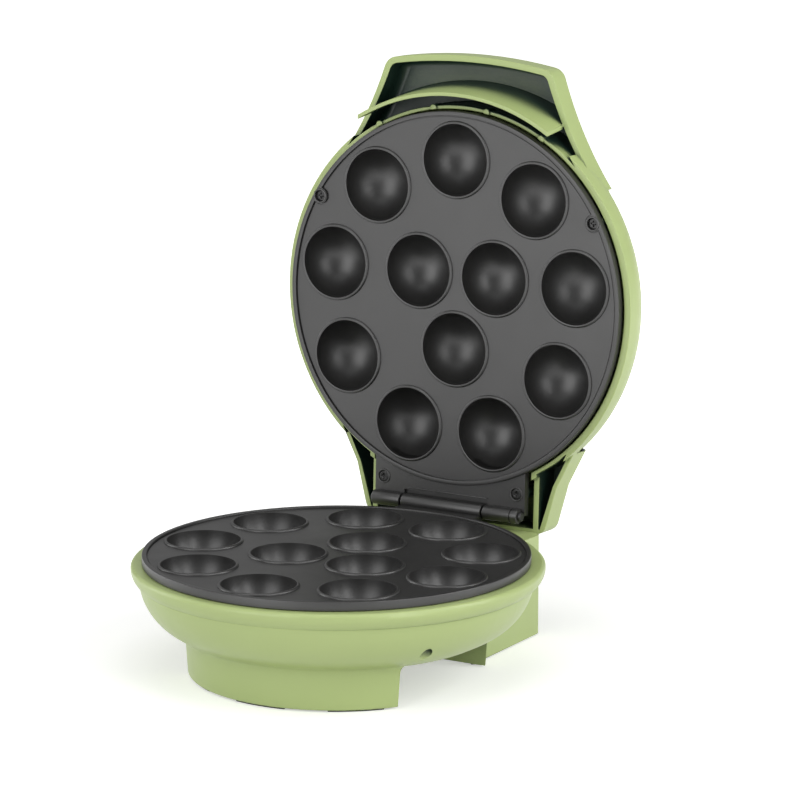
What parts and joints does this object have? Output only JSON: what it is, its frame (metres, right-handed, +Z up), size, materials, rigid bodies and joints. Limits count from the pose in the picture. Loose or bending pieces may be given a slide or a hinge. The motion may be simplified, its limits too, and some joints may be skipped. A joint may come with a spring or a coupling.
{
  "type": "takoyaki maker",
  "caption": "Round countertop takoyaki cooker: a bowl-shaped base on two curved feet with a rear heel and a hinged dome lid with a hollow front handle, each holding a cast plate of ball-shaped cups.",
  "frame": {"origin": "middle of the open cooker's footprint box, on the table", "axes": "+Z up, +Y from the handle side of the base to the hinge, +X to the right seen from the front"},
  "size_m": [0.2106, 0.261, 0.2995],
  "materials": {
    "green_shell": "moulded plastic with a soft satin gloss",
    "nonstick_plate": "cast aluminium under a satin black non-stick coating",
    "black_rubber": "matt rubber",
    "zinc_steel": "zinc plated steel",
    "black_screw": "black oxide steel",
    "black_pin": "black painted steel",
    "brass_terminal": "tinned brass",
    "heater_sheath": "steel heater sheath, dull grey",
    "white_ceramic": "unglazed ceramic",
    "shield_sheet": "bright pressed sheet",
    "brown_phenolic": "brown phenolic case",
    "fuse_case": "plated fuse case",
    "white_nylon": "natural nylon",
    "red_lens": "clear red plastic",
    "green_lens": "clear green plastic",
    "bulb_glass": "clear glass"
  },
  "bodies": {
    "base": {"base_shell": "green_shell", "rubber_feet": "black_rubber", "lower_plate": "nonstick_plate", "base_screws": "zinc_steel", "lower_heater": "heater_sheath", "lower_heater_bushes": "white_ceramic", "lower_heater_tabs": "brass_terminal", "lower_heat_shield": "shield_sheet", "lower_shield_screws": "zinc_steel", "thermostat": "brown_phenolic", "thermostat_strap": "zinc_steel", "shield_rivets": "shield_sheet", "thermal_fuse": "fuse_case", "fuse_clip": "zinc_steel", "terminal_block": "white_nylon", "terminal_screws": "brass_terminal", "cord_gland": "black_rubber"},
    "lid": {"lid_shell": "green_shell", "upper_plate": "nonstick_plate", "side_screws": "black_screw", "leaf_screws": "black_screw", "upper_heater": "heater_sheath", "upper_heater_bushes": "white_ceramic", "upper_heater_tabs": "brass_terminal", "upper_heat_shield": "shield_sheet", "upper_shield_screws": "zinc_steel", "hinge_pin": "black_pin", "hinge_cap": "black_pin", "power_lamp_lens": "red_lens", "ready_lamp_lens": "green_lens", "lamp_bulbs": "bulb_glass", "lamp_holder": "white_nylon"}
  },
  "joints": [
    {"name": "lid_hinge", "type": "hinge", "parent": "base", "child": "lid", "pos_m": [0, 0.08391, 0.0627], "axis": [1, 0, 0], "range_deg": [0, 92.35]}
  ]
}
